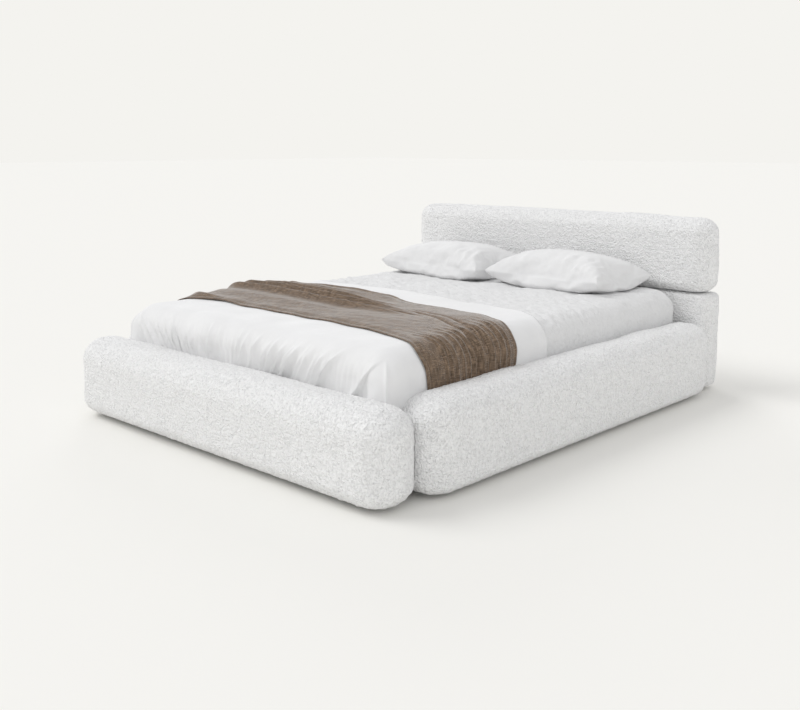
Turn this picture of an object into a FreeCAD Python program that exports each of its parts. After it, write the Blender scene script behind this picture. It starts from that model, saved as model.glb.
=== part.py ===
import FreeCAD, Part
import Sketcher
import os

# Low upholstered bed, made up as it stands in a room. +X is the width, the head is at +Y, +Z is up.
# The origin is on the floor, at the middle of the bed's bounding box. Millimetres.
# Five soft bolsters (footboard, two side rails, headboard base, headboard bolster) stand round
# a slatted bay. Each one is a timber frame inside a foam block inside a sewn boucle cover.

DIMENSIONS = {
    # mattress and the bay that holds it
    "mattress_width": 1500, "mattress_length": 2000, "mattress_height": 260,
    "bay_side_gap": 18, "bay_end_gap": 22, "mattress_foot_gap": 4,
    # upholstered blocks
    "underside": 15, "cover": 3,
    "footboard_width": 1914, "footboard_depth": 240, "footboard_top": 356,
    "rail_thickness": 225, "rail_top": 360,
    "base_width": 1884, "base_depth": 172, "base_top": 488,
    "bolster_width": 1914, "bolster_depth": 200, "bolster_top": 844,
    "block_plan_radius": 85, "block_top_radius": 80, "block_bottom_radius": 60,
    "rail_plan_radius": 70, "base_radius": 45, "base_bottom_radius": 18,
    "bolster_plan_radius": 95, "bolster_edge_radius": 80,
    # timber inside the blocks
    "board": 18, "frame_inset": 66, "core_top_inset": 60,
    "panel_low": 78, "panel_high": 268,
    # slatted base
    "slat_width": 75, "slat_thickness": 20, "slat_top": 205, "slat_end_gap": 3,
    "ledger_size": 40, "strap_width": 30, "strap_thickness": 2, "strap_offset": 520,
    "beam_width": 40, "beam_height": 60, "beam_wall": 2,
    "hanger_plate": 3, "hanger_depth": 60,
    # corner brackets and bolts
    "bracket_leg": 52, "bracket_plate": 4, "bracket_low": 80, "bracket_height": 100,
    "bolt_radius": 4, "bolt_head_radius": 7, "bolt_head_height": 5, "bolt_length": 26,
    "screw_radius": 2.5, "screw_head_radius": 4.5, "screw_head_height": 3,
    # centre legs, levelling feet and glides
    "leg_radius": 16, "leg_bottom": 20, "leg_flange": 30, "flange_plate": 3,
    "stem_radius": 5, "stem_clearance": 0.05, "stem_top": 66, "stem_bore_top": 84,
    "foot_radius": 22, "foot_height": 8,
    "glide_radius": 18, "glide_nail_radius": 2.5, "glide_nail_length": 16,
    # uprights that tie the headboard bolster to its base
    "upright_width": 60, "upright_plate": 8, "upright_bottom": 200, "upright_top": 740,
    "upright_offset": 560,
    # bedding
    "lift_gap": 0.3, "mattress_skin": 4, "mattress_plan_radius": 60, "mattress_edge_radius": 25,
    "bedding_bottom": 362, "coverlet_thickness": 14, "coverlet_side": 16, "coverlet_end": 7,
    "duvet_thickness": 24, "duvet_side": 54, "duvet_front": 52, "duvet_turn": 20,
    "duvet_radius": 45, "throw_thickness": 8, "throw_foot_edge": -790, "throw_head_edge": -230,
    "pillow_width": 695, "pillow_depth": 440, "pillow_height": 170, "pillow_skin": 2,
    "pillow_plan_radius": 90, "pillow_edge_radius": 56,
    "left_pillow_centre": -412, "right_pillow_centre": 305,
    "left_pillow_row": 775, "right_pillow_row": 785,
    "left_pillow_turn": -2, "right_pillow_turn": -3,
}
SLATS = 13
RIBS = 5
LEG_ROWS = {"front": -620, "middle": 34, "rear": 690}

doc = FreeCAD.newDocument("upholstered_bed")
dims = doc.addObject("Spreadsheet::Sheet", "Dims")
for row, (alias, value) in enumerate(DIMENSIONS.items(), start=1):
    dims.set(f"A{row}", str(value))
    dims.setAlias(f"A{row}", alias)
doc.recompute()

# Places worked out from the driving dimensions, as expressions that FreeCAD keeps bound.
BAY_HALF = "(Dims.mattress_width / 2 + Dims.bay_side_gap)"
BAY_LENGTH = "(Dims.mattress_length + 2 * Dims.bay_end_gap)"
LENGTH = f"(Dims.footboard_depth + {BAY_LENGTH} + Dims.base_depth)"
FOOT_END = f"(0 - {LENGTH} / 2)"
BAY_FOOT = f"({FOOT_END} + Dims.footboard_depth)"
BAY_HEAD = f"({BAY_FOOT} + {BAY_LENGTH})"
HEAD_END = f"({LENGTH} / 2)"
SLAT_BOTTOM = "(Dims.slat_top - Dims.slat_thickness)"
BEAM_BOTTOM = f"({SLAT_BOTTOM} - Dims.beam_height)"
MATTRESS_BOTTOM = "(Dims.slat_top + Dims.lift_gap)"
MATTRESS_TOP = f"({MATTRESS_BOTTOM} + Dims.mattress_height)"
MATTRESS_FOOT = f"({BAY_FOOT} + Dims.mattress_foot_gap)"

pieces = []


def keep(piece, label):
    """Name a finished sub-part and put it on the list of files to write."""
    piece.Label = label
    pieces.append(piece)
    return piece


def bind(obj, **expressions):
    """Bind properties to expressions; x, y and z stand for the placement's base."""
    for name, expression in expressions.items():
        path = f".Placement.Base.{name}" if name in ("x", "y", "z") else name
        obj.setExpression(path, str(expression))
    return obj


def box(name, size, corner):
    """A plain block from its size and its lowest corner."""
    block = doc.addObject("Part::Box", name)
    bind(block, Length=size[0], Width=size[1], Height=size[2])
    return bind(block, x=corner[0], y=corner[1], z=corner[2])


def cylinder(name, radius, length, start, axis="z"):
    """A round bar that starts at a point and runs along +X, -X, +Y, -Y or +Z."""
    directions = {"x": (1, 0, 0), "-x": (-1, 0, 0), "y": (0, 1, 0), "-y": (0, -1, 0), "z": (0, 0, 1)}
    bar = doc.addObject("Part::Cylinder", name)
    turn = FreeCAD.Rotation(FreeCAD.Vector(0, 0, 1), FreeCAD.Vector(*directions[axis]))
    bar.Placement = FreeCAD.Placement(FreeCAD.Vector(), turn)
    bind(bar, Radius=radius, Height=length)
    return bind(bar, x=start[0], y=start[1], z=start[2])


def fuse(name, shapes):
    union = doc.addObject("Part::MultiFuse", name)
    union.Shapes = shapes
    return union


def cut(name, base, tool):
    result = doc.addObject("Part::Cut", name)
    result.Base = base
    result.Tool = tool
    return result


def group(name, shapes):
    """Identical pieces that stay separate solids but share one node."""
    compound = doc.addObject("Part::Compound", name)
    compound.Links = shapes
    return compound


def upright_edges(shape):
    return [e for e in shape.Edges if e.BoundBox.ZLength > 0.9 * shape.BoundBox.ZLength]


def outer_upright_edges(side):
    """The two upright edges on the +X or -X face."""
    def choose(shape):
        face = shape.BoundBox.XMax if side > 0 else shape.BoundBox.XMin
        return [e for e in upright_edges(shape) if abs(e.BoundBox.Center.x - face) < 0.01]
    return choose


def top_edges(shape):
    return [e for e in shape.Edges if e.BoundBox.ZMin > shape.BoundBox.ZMax - 0.01]


def bottom_edges(shape):
    return [e for e in shape.Edges if e.BoundBox.ZMax < shape.BoundBox.ZMin + 0.01]


def lengthwise_top_edges(shape):
    return [e for e in top_edges(shape) if e.BoundBox.YLength > 0.9 * shape.BoundBox.YLength]


def soft_block(name, size, corner, roundings, turn=None):
    """A block with rounded edges: a sketched rectangle, padded, then filleted set by set."""
    body = doc.addObject("PartDesign::Body", name)
    sketch = body.newObject("Sketcher::SketchObject", name + "_outline")
    plane = [f for f in body.Origin.OriginFeatures if f.Role == "XY_Plane"][0]
    sketch.AttachmentSupport = [(plane, "")]
    sketch.MapMode = "FlatFace"
    corners = [FreeCAD.Vector(*p, 0) for p in ((-50, -40), (50, -40), (50, 40), (-50, 40))]
    for i in range(4):
        sketch.addGeometry(Part.LineSegment(corners[i], corners[(i + 1) % 4]), False)
    for i in range(4):
        sketch.addConstraint(Sketcher.Constraint("Coincident", i, 2, (i + 1) % 4, 1))
    for line, kind in ((0, "Horizontal"), (1, "Vertical"), (2, "Horizontal"), (3, "Vertical")):
        sketch.addConstraint(Sketcher.Constraint(kind, line))
    sketch.addConstraint(Sketcher.Constraint("Symmetric", 0, 1, 1, 2, -1, 1))
    wide = sketch.addConstraint(Sketcher.Constraint("DistanceX", 0, 1, 0, 2, 100))
    deep = sketch.addConstraint(Sketcher.Constraint("DistanceY", 1, 1, 1, 2, 80))
    sketch.setExpression(f"Constraints[{wide}]", str(size[0]))
    sketch.setExpression(f"Constraints[{deep}]", str(size[1]))
    pad = body.newObject("PartDesign::Pad", name + "_pad")
    pad.Profile = sketch
    pad.setExpression("Length", str(size[2]))
    doc.recompute()
    feature = pad
    for number, (choose, radius) in enumerate(roundings):
        chosen = choose(feature.Shape)
        names = [
            f"Edge{i}" for i, edge in enumerate(feature.Shape.Edges, start=1)
            if any(edge.isSame(e) for e in chosen)
        ]
        fillet = body.newObject("PartDesign::Fillet", f"{name}_round{number}")
        fillet.Base = (feature, names)
        fillet.setExpression("Radius", str(radius))
        doc.recompute()
        feature = fillet
    centre = [f"{c} + ({s}) / 2" for c, s in zip(corner[:2], size[:2])]
    if turn:
        body.setExpression(".Placement.Rotation.Angle", turn)
    return bind(body, x=centre[0], y=centre[1], z=corner[2])


def inset(size, corner, skin):
    """The same block made smaller by a skin's thickness on every side."""
    smaller = [f"({s} - 2 * {skin})" for s in size]
    moved = [f"({c} + {skin})" for c in corner]
    return smaller, moved


def skinned_block(name, size, corner, roundings, skin, turn=None):
    """The outer and inner soft blocks between which a sewn cover lies."""
    outer = soft_block(name + "_outer", size, corner, roundings, turn)
    size_in, corner_in = inset(size, corner, skin)
    tighter = [(choose, f"({radius} - {skin})") for choose, radius in roundings]
    inner = soft_block(name + "_inner", size_in, corner_in, tighter, turn)
    return outer, inner


def upholstered(name, size, corner, roundings, boards, holes):
    """Cover, foam and timber frame of one bolster. boards are the frame's timbers, the first one
    the box that the foam is hollowed by; holes are what fasteners and uprights pass through."""
    outer, inner = skinned_block(name, size, corner, roundings, "Dims.cover")
    core, hollow = boards
    keep(cut(name + "_cover", outer, fuse(name + "_cover_tools", [inner] + holes)), name + "_cover")
    keep(cut(name + "_foam", inner, fuse(name + "_foam_tools", hollow + holes)), name + "_foam")
    keep(cut(name + "_frame", core, fuse(name + "_frame_tools", holes)), name + "_frame")


def timber_frame(name, low, size, ribs_along, panel=None):
    """A ladder of boards: bottom, top and ribs. panel is (size, low, axis, sign) of the zone that
    reaches out from the ladder to the cover: a board lies at its outer face along that axis, and
    every rib has a nose that carries it. Returns the fused frame and what hollows the foam."""
    rib_axis = "xyz".index(ribs_along)
    ladder = []
    for label, level in (("bottom", low[2]), ("top", f"({low[2]} + {size[2]} - Dims.board)")):
        ladder.append(box(f"{name}_{label}", (size[0], size[1], "Dims.board"), (low[0], low[1], level)))
    front = []
    if panel:
        zone_size, zone_low, axis, sign = panel
        board_size, board_low = list(zone_size), list(zone_low)
        board_size[axis] = "Dims.board"
        if sign > 0:
            board_low[axis] = f"({zone_low[axis]} + {zone_size[axis]} - Dims.board)"
        front.append(box(name + "_panel", board_size, board_low))
    for i in range(RIBS):
        along = f"({low[rib_axis]} + ({size[rib_axis]} - Dims.board) * {i} / {RIBS - 1})"
        rib_size, rib_low = list(size), list(low)
        rib_size[rib_axis], rib_low[rib_axis] = "Dims.board", along
        ladder.append(box(f"{name}_rib{i}", rib_size, rib_low))
        if panel:
            nose_size, nose_low = list(zone_size), list(zone_low)
            nose_size[rib_axis], nose_low[rib_axis] = "Dims.board", along
            nose_size[axis] = f"({zone_size[axis]} - Dims.board)"
            if sign < 0:
                nose_low[axis] = f"({zone_low[axis]} + Dims.board)"
            front.append(box(f"{name}_nose{i}", nose_size, nose_low))
    envelope = box(name + "_envelope", size, low)
    return fuse(name + "_boards", ladder + front), [envelope] + front


def bolt(name, point, axis, kind="bolt"):
    """A bolt or screw whose head bears on the plate at point; the shank runs on along the axis."""
    steps = {"x": (0, 1), "-x": (0, -1), "y": (1, 1), "-y": (1, -1)}
    index, sign = steps[axis]
    head_start = list(point)
    head_start[index] = f"({point[index]} - {sign} * Dims.{kind}_head_height)"
    head_height = f"Dims.{kind}_head_height"
    head = cylinder(name + "_head", f"Dims.{kind}_head_radius", head_height, head_start, axis)
    shank = cylinder(name + "_shank", f"Dims.{kind}_radius", "Dims.bolt_length", point, axis)
    return fuse(name, [head, shank])


def bore(name, point, axis, kind="bolt"):
    return cylinder(name, f"Dims.{kind}_radius", "(Dims.bolt_length + 1)", point, axis)


# ---- fastener places: corner brackets, ledger screws, hanger screws, glides ----
CORNERS = {
    "foot_left": (-1, BAY_FOOT, 1), "foot_right": (1, BAY_FOOT, 1),
    "head_left": (-1, BAY_HEAD, -1), "head_right": (1, BAY_HEAD, -1),
}
BOLT_LEVELS = ["(Dims.bracket_low + 22)", "(Dims.bracket_low + Dims.bracket_height - 22)"]
bracket_bolts = []
holes = {name: [] for name in ("footboard", "rail_left", "rail_right", "base", "bolster")}
plates = {}
for corner_name, (side, wall, inward) in CORNERS.items():
    rail = "rail_right" if side > 0 else "rail_left"
    block = "footboard" if inward > 0 else "base"
    rail_axis = "x" if side > 0 else "-x"
    wall_axis = "-y" if inward > 0 else "y"
    middle = "(Dims.bracket_leg / 2 + 4)"
    rail_face = f"({side} * ({BAY_HALF} - Dims.bracket_plate))"
    wall_face = f"({wall} + {inward} * Dims.bracket_plate)"
    plates[corner_name] = []
    for k, level in enumerate(BOLT_LEVELS):
        tag = f"{corner_name}{k}"
        on_rail = [rail_face, f"({wall} + {inward} * {middle})", level]
        on_wall = [f"({side} * ({BAY_HALF} - {middle}))", wall_face, level]
        for target, point, axis in ((rail, on_rail, rail_axis), (block, on_wall, wall_axis)):
            bracket_bolts.append(bolt(f"bolt_{target}_{tag}", point, axis))
            holes[target].append(bore(f"bore_{target}_{tag}", point, axis))
            plates[corner_name].append(bore(f"plate_bore_{target}_{tag}", point, axis))

# ---- centre beam hangers ----
hanger_screws = []
hanger_holes = {"foot": [], "head": []}
HANGER_ENDS = (
    ("foot", BAY_FOOT, 1, "-y", "footboard"),
    ("head", BAY_HEAD, -1, "y", "base"),
)
for end, wall, inward, axis, block in HANGER_ENDS:
    for side in (-1, 1):
        offset = f"({side} * (Dims.beam_width / 2 + Dims.hanger_plate + 12))"
        face = f"({wall} + {inward} * Dims.hanger_plate)"
        point = [offset, face, f"({BEAM_BOTTOM} + Dims.beam_height / 2)"]
        tag = f"{end}{'l' if side < 0 else 'r'}"
        hanger_screws.append(bolt("hanger_screw_" + tag, point, axis, "screw"))
        holes[block].append(bore("hanger_bore_" + tag, point, axis, "screw"))
        hanger_holes[end].append(bore("hanger_hole_" + tag, point, axis, "screw"))

# ---- ledger screws ----
LEDGER_LENGTH = f"({BAY_LENGTH} - 2 * (Dims.bracket_leg + 8))"
LEDGER_START = f"({BAY_FOOT} + Dims.bracket_leg + 8)"
LEDGER_SCREWS = 5
SCREW_SEAT = 20
ledger_screws = []
ledger_holes = {-1: [], 1: []}
for side, rail in ((-1, "rail_left"), (1, "rail_right")):
    axis = "x" if side > 0 else "-x"
    shank_length = f"({SCREW_SEAT} + Dims.cover + Dims.board - 2)"
    for i in range(LEDGER_SCREWS):
        along = f"({LEDGER_START} + 60 + ({LEDGER_LENGTH} - 120) * {i} / {LEDGER_SCREWS - 1})"
        level = f"({SLAT_BOTTOM} - Dims.ledger_size / 2)"
        seat = (f"({side} * ({BAY_HALF} - {SCREW_SEAT}))", along, level)
        mouth = (f"({side} * ({BAY_HALF} - Dims.ledger_size))", along, level)
        head_start = (f"({side} * ({BAY_HALF} - {SCREW_SEAT} - Dims.screw_head_height))", along, level)
        tag = f"{rail}{i}"
        recess_depth = f"(Dims.ledger_size - {SCREW_SEAT})"
        recess = cylinder("recess_" + tag, "Dims.screw_head_radius", recess_depth, mouth, axis)
        head = cylinder("head_" + tag, "Dims.screw_head_radius", "Dims.screw_head_height", head_start, axis)
        shank, way, rail_way = (
            cylinder(f"{use}_{tag}", "Dims.screw_radius", shank_length, seat, axis)
            for use in ("shank", "way", "rail_way")
        )
        ledger_screws.append(fuse("ledger_screw_" + tag, [head, shank]))
        ledger_holes[side] += [recess, way]
        holes[rail].append(rail_way)

# ---- glides under the blocks ----
glides = []
RAIL_MIDDLE = f"({BAY_HALF} + Dims.rail_thickness / 2)"
glide_places = []
for i in range(4):
    place = f"((Dims.footboard_width - 400) * ({i} / 3 - 0.5))"
    glide_places.append(("footboard", place, f"({FOOT_END} + Dims.footboard_depth / 2)"))
    place = f"((Dims.base_width - 400) * ({i} / 3 - 0.5))"
    glide_places.append(("base", place, f"({HEAD_END} - Dims.base_depth / 2)"))
for i in range(3):
    along = f"({BAY_FOOT} + 150 + ({BAY_LENGTH} - 300) * {i} / 2)"
    glide_places.append(("rail_left", f"(0 - {RAIL_MIDDLE})", along))
    glide_places.append(("rail_right", RAIL_MIDDLE, along))
for i, (block, across, along) in enumerate(glide_places):
    disc = cylinder(f"glide_disc{i}", "Dims.glide_radius", "Dims.underside", (across, along, 0))
    nail_start = (across, along, "Dims.underside")
    nail = cylinder(f"glide_nail{i}", "Dims.glide_nail_radius", "Dims.glide_nail_length", nail_start)
    glides.append(fuse(f"glide{i}", [disc, nail]))
    holes[block].append(
        cylinder(f"glide_hole{i}", "Dims.glide_nail_radius", "Dims.glide_nail_length", nail_start))

# ---- headboard uprights: steel flats that the bolster slides down on ----
uprights = []
for side, label in ((-1, "left"), (1, "right")):
    size = ("Dims.upright_width", "Dims.upright_plate", "(Dims.upright_top - Dims.upright_bottom)")
    low = (f"({side} * Dims.upright_offset - Dims.upright_width / 2)",
           f"({HEAD_END} - Dims.base_depth / 2 - Dims.upright_plate / 2)", "Dims.upright_bottom")
    keep(box("headboard_upright_" + label, size, low), "headboard_upright_" + label)
    for block in ("base", "bolster"):
        holes[block].append(box(f"upright_slot_{block}_{label}", size, low))

# ---- footboard ----
BLOCK_ROUND = [
    (upright_edges, "Dims.block_plan_radius"),
    (top_edges, "Dims.block_top_radius"),
    (bottom_edges, "Dims.block_bottom_radius"),
]
size = ("Dims.footboard_width", "Dims.footboard_depth", "(Dims.footboard_top - Dims.underside)")
corner = ("(0 - Dims.footboard_width / 2)", FOOT_END, "Dims.underside")
core_size = (
    "(Dims.footboard_width - 2 * Dims.frame_inset - 40)",
    "(Dims.footboard_depth - 2 * Dims.frame_inset)",
    "(Dims.footboard_top - Dims.underside - Dims.cover - Dims.core_top_inset)",
)
core_low = ("(0 - Dims.footboard_width / 2 + Dims.frame_inset + 20)",
            f"({FOOT_END} + Dims.frame_inset)", "(Dims.underside + Dims.cover)")
PANEL_HEIGHT = "(Dims.panel_high - Dims.panel_low)"
panel = (("(Dims.footboard_width - 2 * Dims.block_plan_radius - 10)",
          "(Dims.frame_inset - Dims.cover)", PANEL_HEIGHT),
         ("(0 - Dims.footboard_width / 2 + Dims.block_plan_radius + 5)",
          f"({BAY_FOOT} - Dims.frame_inset)", "Dims.panel_low"), 1, 1)
boards = timber_frame("footboard_core", core_low, core_size, "x", panel)
upholstered("footboard", size, corner, BLOCK_ROUND, boards, holes["footboard"])

# ---- side rails ----
for side, name in ((-1, "rail_left"), (1, "rail_right")):
    low_x = BAY_HALF if side > 0 else f"(0 - {BAY_HALF} - Dims.rail_thickness)"
    size = ("Dims.rail_thickness", BAY_LENGTH, "(Dims.rail_top - Dims.underside)")
    corner = (low_x, BAY_FOOT, "Dims.underside")
    rounding = [
        (outer_upright_edges(side), "Dims.rail_plan_radius"),
        (top_edges, "Dims.block_top_radius - 15"),
        (bottom_edges, "Dims.block_bottom_radius"),
    ]
    core_size = ("(Dims.rail_thickness - 2 * Dims.frame_inset)", f"({BAY_LENGTH} - 2 * Dims.frame_inset)",
                 "(Dims.rail_top - Dims.underside - Dims.cover - Dims.core_top_inset)")
    core_low = (f"({low_x} + Dims.frame_inset)", f"({BAY_FOOT} + Dims.frame_inset)",
                "(Dims.underside + Dims.cover)")
    panel_x = f"({BAY_HALF} + Dims.cover)" if side > 0 else f"(0 - {BAY_HALF} - Dims.frame_inset)"
    panel = (("(Dims.frame_inset - Dims.cover)", f"({BAY_LENGTH} - 2 * Dims.cover - 2)", PANEL_HEIGHT),
             (panel_x, f"({BAY_FOOT} + Dims.cover + 1)", "Dims.panel_low"), 0, -side)
    boards = timber_frame(name + "_core", core_low, core_size, "y", panel)
    upholstered(name, size, corner, rounding, boards, holes[name])

# ---- headboard base ----
size = ("Dims.base_width", "Dims.base_depth", "(Dims.base_top - Dims.underside)")
corner = ("(0 - Dims.base_width / 2)", BAY_HEAD, "Dims.underside")
rounding = [
    (upright_edges, "Dims.base_radius + 3"),
    (top_edges, "Dims.base_radius"),
    (bottom_edges, "Dims.base_bottom_radius"),
]
BASE_INSET = "(Dims.base_radius + 2)"
core_size = (f"(Dims.base_width - 2 * {BASE_INSET})", f"(Dims.base_depth - 2 * {BASE_INSET})",
             "(Dims.base_top - Dims.underside - Dims.cover - Dims.base_radius)")
core_low = (f"(0 - Dims.base_width / 2 + {BASE_INSET})", f"({BAY_HEAD} + {BASE_INSET})",
            "(Dims.underside + Dims.cover)")
panel = ((f"(Dims.base_width - 2 * {BASE_INSET} - 12)", f"({BASE_INSET} - Dims.cover)", PANEL_HEIGHT),
         (f"(0 - Dims.base_width / 2 + {BASE_INSET} + 6)", f"({BAY_HEAD} + Dims.cover)", "Dims.panel_low"),
         1, -1)
boards = timber_frame("base_core", core_low, core_size, "x", panel)
upholstered("headboard_base", size, corner, rounding, boards, holes["base"])

# ---- headboard bolster ----
size = ("Dims.bolster_width", "Dims.bolster_depth", "(Dims.bolster_top - Dims.base_top)")
corner = ("(0 - Dims.bolster_width / 2)", f"({HEAD_END} - Dims.bolster_depth)", "Dims.base_top")
rounding = [
    (upright_edges, "Dims.bolster_plan_radius"),
    (top_edges, "Dims.bolster_edge_radius"),
    (bottom_edges, "Dims.bolster_edge_radius"),
]
core_size = ("(Dims.bolster_width - 2 * Dims.bolster_plan_radius)",
             "(Dims.bolster_depth - 2 * Dims.frame_inset)",
             "(Dims.bolster_top - Dims.base_top - 2 * Dims.core_top_inset)")
core_low = ("(0 - Dims.bolster_width / 2 + Dims.bolster_plan_radius)",
            f"({HEAD_END} - Dims.bolster_depth + Dims.frame_inset)",
            "(Dims.base_top + Dims.core_top_inset)")
boards = timber_frame("bolster_core", core_low, core_size, "x")
upholstered("headboard_bolster", size, corner, rounding, boards, holes["bolster"])

# ---- corner brackets ----
for corner_name, (side, wall, inward) in CORNERS.items():
    leg, plate, tall = "Dims.bracket_leg", "Dims.bracket_plate", "Dims.bracket_height"
    rail_x = f"({BAY_HALF} - {plate})" if side > 0 else f"(0 - {BAY_HALF})"
    rail_y = wall if inward > 0 else f"({wall} - {leg})"
    wall_x = f"({BAY_HALF} - {leg})" if side > 0 else f"(0 - {BAY_HALF})"
    wall_y = wall if inward > 0 else f"({wall} - {plate})"
    legs = [
        box(f"bracket_rail_leg_{corner_name}", (plate, leg, tall), (rail_x, rail_y, "Dims.bracket_low")),
        box(f"bracket_wall_leg_{corner_name}", (leg, plate, tall), (wall_x, wall_y, "Dims.bracket_low")),
    ]
    angle = fuse(f"bracket_angle_{corner_name}", legs)
    tools = fuse(f"bracket_bores_{corner_name}", plates[corner_name])
    keep(cut("bracket_" + corner_name, angle, tools), "corner_bracket_" + corner_name)
keep(group("bracket_bolts", bracket_bolts), "bracket_bolts")

# ---- slatted base ----
for side, name in ((-1, "ledger_left"), (1, "ledger_right")):
    low_x = f"({BAY_HALF} - Dims.ledger_size)" if side > 0 else f"(0 - {BAY_HALF})"
    batten = box(name + "_batten", ("Dims.ledger_size", LEDGER_LENGTH, "Dims.ledger_size"),
                 (low_x, LEDGER_START, f"({SLAT_BOTTOM} - Dims.ledger_size)"))
    keep(cut(name, batten, fuse(name + "_ways", ledger_holes[side])), name)
keep(group("ledger_screws", ledger_screws), "ledger_screws")

SLAT_PITCH = f"(({LEDGER_LENGTH} - Dims.slat_width) / {SLATS - 1})"
for i in range(SLATS):
    low = (f"(0 - {BAY_HALF} + Dims.slat_end_gap)", f"({LEDGER_START} + {SLAT_PITCH} * {i})", SLAT_BOTTOM)
    slat_size = (f"(2 * ({BAY_HALF} - Dims.slat_end_gap))", "Dims.slat_width", "Dims.slat_thickness")
    label = f"slat_{i + 1:02d}"
    keep(box(label, slat_size, low), label)

straps = []
for side, label in ((-1, "left"), (1, "right")):
    strap_low = (f"({side} * Dims.strap_offset - Dims.strap_width / 2)", LEDGER_START,
                 f"({SLAT_BOTTOM} - Dims.strap_thickness)")
    strap_size = ("Dims.strap_width", LEDGER_LENGTH, "Dims.strap_thickness")
    straps.append(box("strap_" + label, strap_size, strap_low))
keep(group("slat_straps", straps), "slat_straps")

BEAM_START = f"({BAY_FOOT} + Dims.hanger_plate)"
BEAM_LENGTH = f"({BAY_LENGTH} - 2 * Dims.hanger_plate)"
tube = box("beam_tube", ("Dims.beam_width", BEAM_LENGTH, "Dims.beam_height"),
           ("(0 - Dims.beam_width / 2)", BEAM_START, BEAM_BOTTOM))
hollow = box("beam_hollow",
             ("(Dims.beam_width - 2 * Dims.beam_wall)", f"({BEAM_LENGTH} + 2)",
              "(Dims.beam_height - 2 * Dims.beam_wall)"),
             ("(0 - Dims.beam_width / 2 + Dims.beam_wall)", f"({BEAM_START} - 1)",
              f"({BEAM_BOTTOM} + Dims.beam_wall)"))
keep(cut("centre_beam", tube, hollow), "centre_beam")

for end, wall, inward in (("foot", BAY_FOOT, 1), ("head", BAY_HEAD, -1)):
    plate, depth = "Dims.hanger_plate", "Dims.hanger_depth"
    back_y = wall if inward > 0 else f"({wall} - {plate})"
    cup_y = wall if inward > 0 else f"({wall} - {depth})"
    wide = f"(Dims.beam_width + 2 * {plate})"
    back = box(f"hanger_back_{end}", (f"({wide} + 48)", plate, "Dims.beam_height"),
               (f"(0 - ({wide} + 48) / 2)", back_y, BEAM_BOTTOM))
    cup = box(f"hanger_cup_{end}", (wide, depth, f"(Dims.beam_height + {plate})"),
              (f"(0 - {wide} / 2)", cup_y, f"({BEAM_BOTTOM} - {plate})"))
    hollow_y = f"({wall} + {plate})" if inward > 0 else f"({wall} - {plate} - {depth})"
    space = box(f"hanger_space_{end}", ("Dims.beam_width", depth, "(Dims.beam_height + 10)"),
                ("(0 - Dims.beam_width / 2)", hollow_y, BEAM_BOTTOM))
    saddle = fuse(f"hanger_saddle_{end}", [back, cup])
    tools = fuse(f"hanger_tools_{end}", [space] + hanger_holes[end])
    keep(cut(f"beam_hanger_{end}", saddle, tools), f"beam_hanger_{end}")
keep(group("hanger_screws", hanger_screws), "hanger_screws")

# ---- centre legs and their levelling feet ----
for end, along in LEG_ROWS.items():
    flange = cylinder(f"leg_flange_{end}", "Dims.leg_flange", "Dims.flange_plate",
                      (0, along, f"({BEAM_BOTTOM} - Dims.flange_plate)"))
    post = cylinder(f"leg_post_{end}", "Dims.leg_radius", f"({BEAM_BOTTOM} - Dims.leg_bottom)",
                    (0, along, "Dims.leg_bottom"))
    thread = cylinder(f"leg_thread_{end}", "(Dims.stem_radius + Dims.stem_clearance)",
                      "(Dims.stem_bore_top - Dims.leg_bottom)", (0, along, "Dims.leg_bottom"))
    keep(cut(f"leg_{end}", fuse(f"leg_turned_{end}", [flange, post]), thread), f"centre_leg_{end}")
    pad = cylinder(f"foot_pad_{end}", "Dims.foot_radius", "Dims.foot_height", (0, along, 0))
    stem = cylinder(f"foot_stem_{end}", "Dims.stem_radius", "(Dims.stem_top - Dims.foot_height)",
                    (0, along, "Dims.foot_height"))
    keep(fuse(f"foot_{end}", [pad, stem]), f"levelling_foot_{end}")
keep(group("floor_glides", glides), "floor_glides")

# ---- mattress ----
size = ("Dims.mattress_width", "Dims.mattress_length", "Dims.mattress_height")
corner = ("(0 - Dims.mattress_width / 2)", MATTRESS_FOOT, MATTRESS_BOTTOM)
rounding = [
    (upright_edges, "Dims.mattress_plan_radius"),
    (top_edges, "Dims.mattress_edge_radius"),
    (bottom_edges, "Dims.mattress_edge_radius"),
]
outer, inner = skinned_block("mattress", size, corner, rounding, "Dims.mattress_skin")
keep(cut("mattress_skin", outer, inner), "mattress_cover")
keep(inner, "mattress_core")

# ---- coverlet, duvet and throw, each lying on the one below ----
COVERLET_HALF = "(Dims.mattress_width / 2 + Dims.coverlet_side)"
COVERLET_FOOT = f"({MATTRESS_FOOT} - Dims.coverlet_end)"
COVERLET_TOP = f"({MATTRESS_TOP} + Dims.coverlet_thickness)"
cover_size = (f"(2 * {COVERLET_HALF})", "(Dims.mattress_length + 2 * Dims.coverlet_end)",
              f"({COVERLET_TOP} - Dims.bedding_bottom)")
cover_low = (f"(0 - {COVERLET_HALF})", COVERLET_FOOT, "Dims.bedding_bottom")
cover_round = [(upright_edges, "Dims.mattress_plan_radius"), (top_edges, "Dims.mattress_edge_radius")]
coverlet_block = soft_block("coverlet_block", cover_size, cover_low, cover_round)
keep(cut("coverlet_sheet", coverlet_block, outer), "coverlet")

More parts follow.
